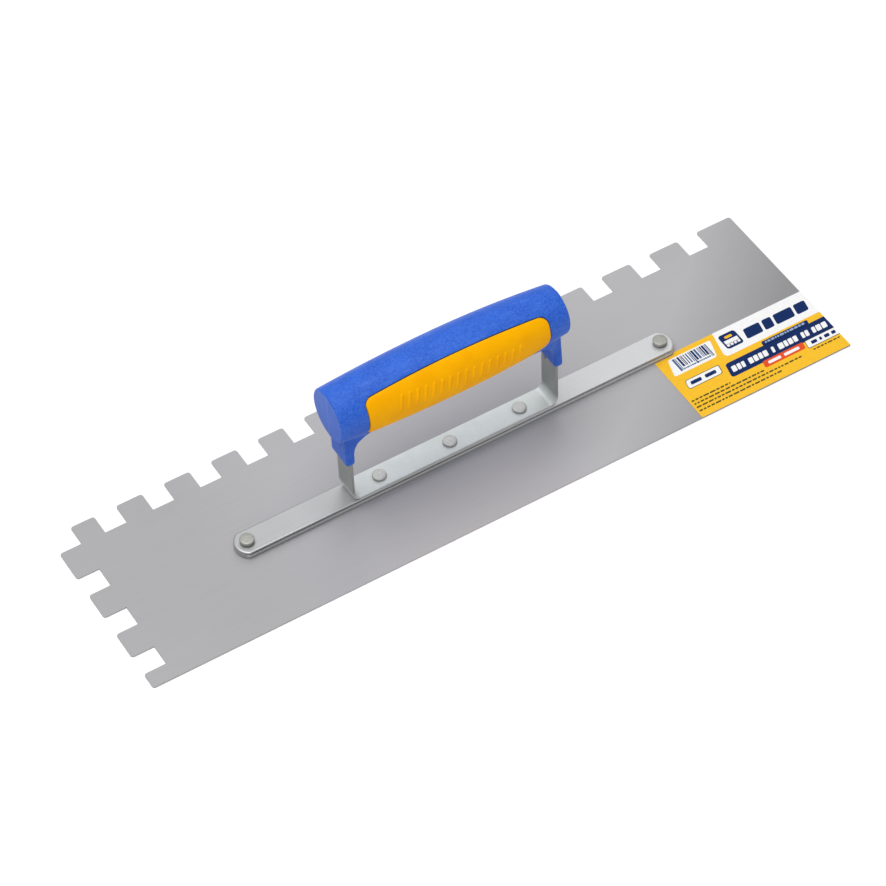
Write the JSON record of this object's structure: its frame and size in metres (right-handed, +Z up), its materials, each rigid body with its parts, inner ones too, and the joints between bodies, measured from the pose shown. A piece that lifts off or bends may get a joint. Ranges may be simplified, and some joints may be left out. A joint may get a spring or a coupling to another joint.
{
  "type": "notched trowel",
  "caption": "Notched trowel for tile adhesive: thin steel blade with square teeth on one long and one short side, riveted backing bar, and a closed two-colour handle on a U-shaped bracket.",
  "frame": {"origin": "centre of the blade's underside, at the bottom of the object's box", "axes": "+X along the blade from the toothed short side to the plain short side, +Y towards the toothed long side, +Z up from the blade to the grip"},
  "size_m": [0.4, 0.108, 0.0826],
  "materials": {
    "steel_sheet": "cold-rolled spring steel sheet, fine rolling grain along the blade",
    "bar_aluminium": "extruded mill finish with bright side lips",
    "zinc_strap": "bright zinc-plated steel strap",
    "grip_plastic": "blue polypropylene with a fine moulded texture",
    "pad_rubber": "smooth satin orange soft-touch rubber",
    "label_film": "printed sticker with a satin film",
    "rivet_metal": "matt, slightly oxidised solid rivets"
  },
  "bodies": {
    "root": {"blade": "steel_sheet", "backing_bar": "bar_aluminium", "handle_bracket": "zinc_strap", "handle_body": "grip_plastic", "grip_pad": "pad_rubber", "label": "label_film", "rivet_1": "rivet_metal", "rivet_2": "rivet_metal", "rivet_3": "rivet_metal", "rivet_4": "rivet_metal", "rivet_5": "rivet_metal"}
  },
  "joints": []
}
